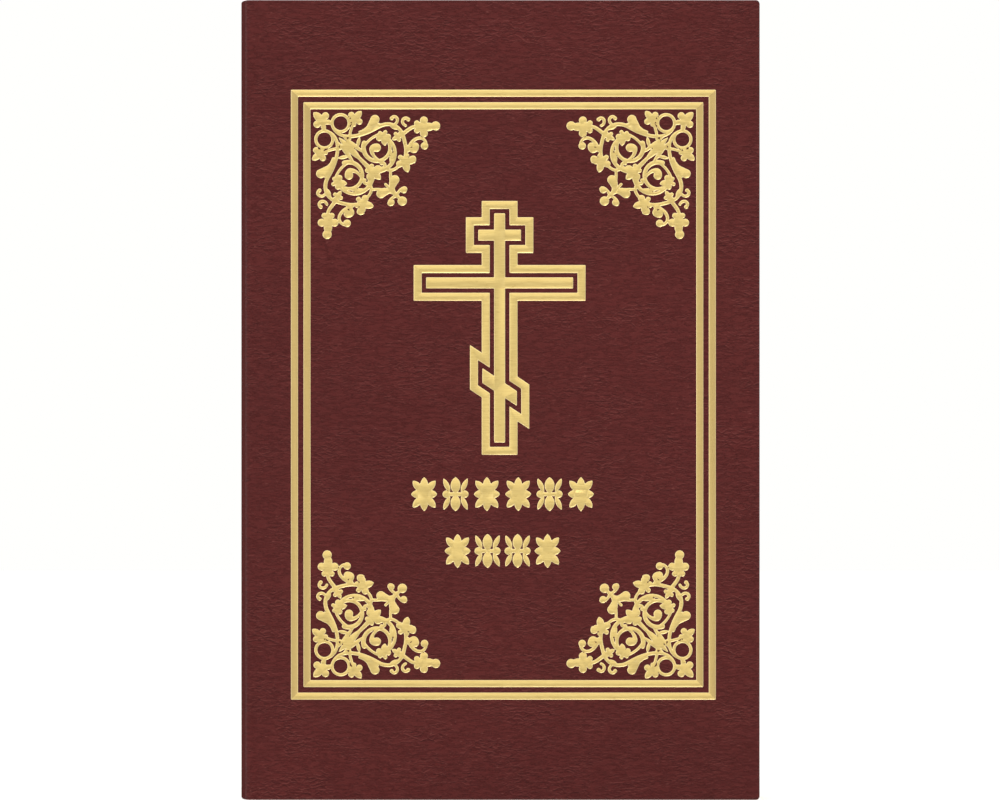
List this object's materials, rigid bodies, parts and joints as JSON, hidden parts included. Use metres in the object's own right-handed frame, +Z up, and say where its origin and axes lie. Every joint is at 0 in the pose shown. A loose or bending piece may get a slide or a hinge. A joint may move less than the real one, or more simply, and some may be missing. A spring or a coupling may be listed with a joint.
{
  "type": "prayer book",
  "caption": "Pocket prayer book: sewn leaf sections in burgundy leatherette boards, gold cross and double frame on the front cover, opening spine and covers.",
  "frame": {"origin": "middle of the footprint, on the plane that the tail edges of the covers stand on", "axes": "+Z up to the head of the book, -Y out of the front cover, -X to the spine, +X to the fore-edge"},
  "size_m": [0.112, 0.0262, 0.1725],
  "materials": {
    "leatherette": "burgundy leatherette with a fine cross grain",
    "board": "grey binder's board",
    "spine_card": "thin card",
    "endpaper": "smooth cream endpaper",
    "page_paper": "uncoated cream book paper",
    "gold_foil": "hot-stamped gold foil",
    "hinge_cloth": "rolled joint cloth under the leatherette",
    "lining": "mull and kraft lining",
    "thread": "linen sewing thread",
    "headband": "striped woven headband",
    "ribbon": "satin ribbon"
  },
  "bodies": {
    "spine": {"spine_leatherette": "leatherette", "spine_inlay": "spine_card"},
    "front_joint": {"front_joint_leatherette": "leatherette"},
    "back_joint": {"back_joint_leatherette": "leatherette"},
    "front_cover": {"front_leatherette": "leatherette", "front_board": "board", "front_pastedown": "endpaper", "gilt_outer_frame": "gold_foil", "gilt_inner_frame": "gold_foil", "gilt_cross": "gold_foil", "gilt_cross_border": "gold_foil", "gilt_corner_vines": "gold_foil", "gilt_title_ornament": "gold_foil"},
    "back_cover": {"back_leatherette": "leatherette", "back_board": "board", "back_pastedown": "endpaper"},
    "block_core": {"headband": "headband", "tailband": "headband", "ribbon_marker": "ribbon"},
    "section_01": {"section_01": "page_paper", "spine_lining_01": "lining", "sewing_thread_01": "thread", "front_hinge_cloth": "hinge_cloth"},
    "section_02": {"section_02": "page_paper", "spine_lining_02": "lining", "sewing_thread_02": "thread"},
    "section_03": {"section_03": "page_paper", "spine_lining_03": "lining", "sewing_thread_03": "thread"},
    "section_04": {"section_04": "page_paper", "spine_lining_04": "lining", "sewing_thread_04": "thread"},
    "section_05": {"section_05": "page_paper", "spine_lining_05": "lining", "sewing_thread_05": "thread"},
    "section_06": {"section_06": "page_paper", "spine_lining_06": "lining", "sewing_thread_06": "thread"},
    "section_07": {"section_07": "page_paper", "spine_lining_07": "lining", "sewing_thread_07": "thread"},
    "section_08": {"section_08": "page_paper", "spine_lining_08": "lining", "sewing_thread_08": "thread"},
    "section_09": {"section_09": "page_paper", "spine_lining_09": "lining", "sewing_thread_09": "thread"},
    "section_10": {"section_10": "page_paper", "spine_lining_10": "lining", "sewing_thread_10": "thread", "back_hinge_cloth": "hinge_cloth"},
    "front_flyleaf": {"front_flyleaf": "endpaper"},
    "title_leaf": {"title_leaf": "page_paper"},
    "last_leaf": {"last_leaf": "page_paper"},
    "back_flyleaf": {"back_flyleaf": "endpaper"}
  },
  "joints": [
    {"name": "book_opening", "type": "slide", "parent": "spine", "child": "block_core", "axis": [1, 0, 0], "range_m": [0, 0.00423]},
    {"name": "front_joint_turn", "type": "hinge", "parent": "spine", "child": "front_joint", "pos_m": [-0.0546, -0.01022, 0.08625], "axis": [0, 0, 1], "range_deg": [0, 22.9]},
    {"name": "back_joint_turn", "type": "hinge", "parent": "spine", "child": "back_joint", "pos_m": [-0.0546, 0.01022, 0.08625], "axis": [0, 0, -1], "range_deg": [0, 22.9]},
    {"name": "front_cover_hinge", "type": "hinge", "parent": "section_01", "child": "front_cover", "pos_m": [-0.0533, -0.0122, 0.08625], "axis": [0, 0, -1], "range_deg": [0, 140]},
    {"name": "back_cover_hinge", "type": "hinge", "parent": "section_10", "child": "back_cover", "pos_m": [-0.0533, 0.0122, 0.08625], "axis": [0, 0, 1], "range_deg": [0, 140]},
    {"name": "section_05_fold", "type": "hinge", "parent": "block_core", "child": "section_05", "pos_m": [-0.0536, -0.00015, 0.08625], "axis": [0, 0, -1], "range_deg": [0, 3]},
    {"name": "section_04_fold", "type": "hinge", "parent": "section_05", "child": "section_04", "pos_m": [-0.05356, -0.00207, 0.08625], "axis": [0, 0, -1], "range_deg": [0, 6]},
    {"name": "section_03_fold", "type": "hinge", "parent": "section_04", "child": "section_03", "pos_m": [-0.05345, -0.00399, 0.08625], "axis": [0, 0, -1], "range_deg": [0, 6]},
    {"name": "section_02_fold", "type": "hinge", "parent": "section_03", "child": "section_02", "pos_m": [-0.05328, -0.00591, 0.08625], "axis": [0, 0, -1], "range_deg": [0, 6]},
    {"name": "section_01_fold", "type": "hinge", "parent": "section_02", "child": "section_01", "pos_m": [-0.05304, -0.00783, 0.08625], "axis": [0, 0, -1], "range_deg": [0, 6]},
    {"name": "section_06_fold", "type": "hinge", "parent": "block_core", "child": "section_06", "pos_m": [-0.0536, 0.00015, 0.08625], "axis": [0, 0, 1], "range_deg": [0, 3]},
    {"name": "section_07_fold", "type": "hinge", "parent": "section_06", "child": "section_07", "pos_m": [-0.05356, 0.00207, 0.08625], "axis": [0, 0, 1], "range_deg": [0, 6]},
    {"name": "section_08_fold", "type": "hinge", "parent": "section_07", "child": "section_08", "pos_m": [-0.05345, 0.00399, 0.08625], "axis": [0, 0, 1], "range_deg": [0, 6]},
    {"name": "section_09_fold", "type": "hinge", "parent": "section_08", "child": "section_09", "pos_m": [-0.05328, 0.00591, 0.08625], "axis": [0, 0, 1], "range_deg": [0, 6]},
    {"name": "section_10_fold", "type": "hinge", "parent": "section_09", "child": "section_10", "pos_m": [-0.05304, 0.00783, 0.08625], "axis": [0, 0, 1], "range_deg": [0, 6]},
    {"name": "front_flyleaf_turn", "type": "hinge", "parent": "section_01", "child": "front_flyleaf", "pos_m": [-0.05252, -0.00975, 0.08625], "axis": [0, 0, -1], "range_deg": [0, 63]},
    {"name": "title_leaf_turn", "type": "hinge", "parent": "section_01", "child": "title_leaf", "pos_m": [-0.05252, -0.00975, 0.08625], "axis": [0, 0, -1], "range_deg": [0, 35]},
    {"name": "last_leaf_turn", "type": "hinge", "parent": "section_10", "child": "last_leaf", "pos_m": [-0.05252, 0.00975, 0.08625], "axis": [0, 0, 1], "range_deg": [0, 35]},
    {"name": "back_flyleaf_turn", "type": "hinge", "parent": "section_10", "child": "back_flyleaf", "pos_m": [-0.05252, 0.00975, 0.08625], "axis": [0, 0, 1], "range_deg": [0, 63]}
  ],
  "couplings": [
    {"joint": "front_joint_turn", "follows": "book_opening", "rad_per_m": 94.487},
    {"joint": "back_joint_turn", "follows": "book_opening", "rad_per_m": 94.487},
    {"joint": "section_05_fold", "follows": "book_opening", "rad_per_m": 12.378},
    {"joint": "section_04_fold", "follows": "book_opening", "rad_per_m": 24.756},
    {"joint": "section_03_fold", "follows": "book_opening", "rad_per_m": 24.756},
    {"joint": "section_02_fold", "follows": "book_opening", "rad_per_m": 24.756},
    {"joint": "section_01_fold", "follows": "book_opening", "rad_per_m": 24.756},
    {"joint": "section_06_fold", "follows": "book_opening", "rad_per_m": 12.378},
    {"joint": "section_07_fold", "follows": "book_opening", "rad_per_m": 24.756},
    {"joint": "section_08_fold", "follows": "book_opening", "rad_per_m": 24.756},
    {"joint": "section_09_fold", "follows": "book_opening", "rad_per_m": 24.756},
    {"joint": "section_10_fold", "follows": "book_opening", "rad_per_m": 24.756},
    {"joint": "front_flyleaf_turn", "follows": "front_cover_hinge", "ratio": 0.45},
    {"joint": "title_leaf_turn", "follows": "front_cover_hinge", "ratio": 0.25},
    {"joint": "last_leaf_turn", "follows": "back_cover_hinge", "ratio": 0.25},
    {"joint": "back_flyleaf_turn", "follows": "back_cover_hinge", "ratio": 0.45}
  ]
}
